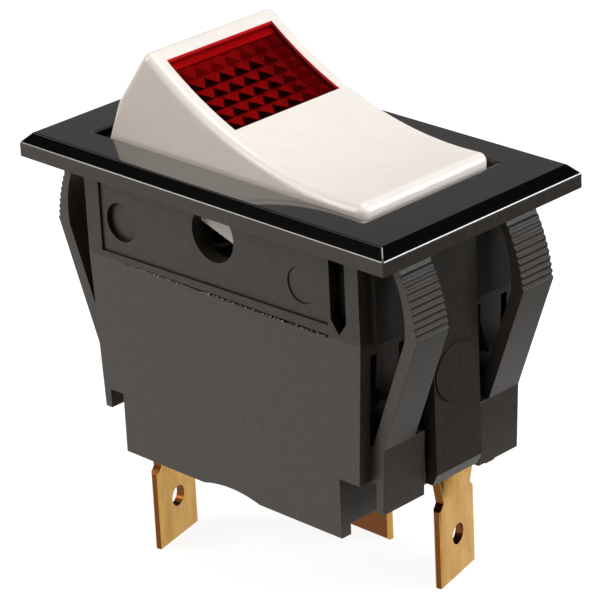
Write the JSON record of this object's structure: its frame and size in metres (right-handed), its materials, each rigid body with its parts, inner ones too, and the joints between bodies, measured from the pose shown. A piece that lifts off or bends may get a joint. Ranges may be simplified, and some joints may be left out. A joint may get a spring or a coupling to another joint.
{
  "type": "panel rocker switch",
  "caption": "Snap-in panel rocker switch: glossy bezel, white concave rocker with a red lens, serrated snap arms and blade terminals under a plastic body.",
  "frame": {"origin": "centre of the underside of the bezel, which rests on the panel", "axes": "+X along the bezel towards the end of the rocker that is pressed at rest, +Y across it, +Z out of the panel"},
  "size_m": [0.0446, 0.025, 0.0489],
  "materials": {
    "bezel": "glossy black top, satin charcoal skirt",
    "housing": "satin charcoal",
    "rocker": "glossy warm white",
    "lens": "clear deep red",
    "plunger": "natural, satin",
    "spring": "bright drawn wire",
    "blade": "plain rolled strip",
    "contact": "bright silver",
    "terminal": "plain rolled strip",
    "glass": "clear",
    "electrode": "plain wire",
    "holder": "satin black",
    "resistor": "lacquered",
    "lead": "tinned wire",
    "sleeve": "translucent tube"
  },
  "bodies": {
    "case": {"bezel_frame": "bezel", "lower_housing": "housing", "fixed_contact": "contact", "load_terminal": "terminal", "lamp_terminal": "terminal", "common_terminal": "terminal", "lamp_holder": "holder", "lamp_bulb": "glass", "lamp_electrode_front": "electrode", "lamp_electrode_back": "electrode", "resistor": "resistor", "lamp_return_lead": "lead", "lamp_supply_lead": "lead", "resistor_lead": "lead", "lead_sleeve": "sleeve"},
    "rocker_body": {"rocker": "rocker", "lens": "lens", "plunger_spring": "spring"},
    "plunger_body": {"plunger": "plunger"},
    "blade_body": {"contact_blade": "blade", "moving_contact": "contact"}
  },
  "joints": [
    {"name": "rocker_tilt", "type": "hinge", "parent": "case", "child": "rocker_body", "pos_m": [-0.0007, 0, -0.00305], "axis": [0, -1, 0], "range_deg": [0, 36]},
    {"name": "plunger_press", "type": "slide", "parent": "rocker_body", "child": "plunger_body", "axis": [0.309, 0, 0.9511], "range_m": [0, 0.0012], "stiffness_N_per_m": 300, "deforming": ["plunger_spring"]},
    {"name": "blade_rock", "type": "hinge", "parent": "case", "child": "blade_body", "pos_m": [-0.0007, 0, -0.0184], "axis": [0, 1, 0], "range_deg": [0, 12]}
  ],
  "couplings": [
    {"joint": "blade_rock", "follows": "rocker_tilt", "ratio": 0.33333}
  ]
}
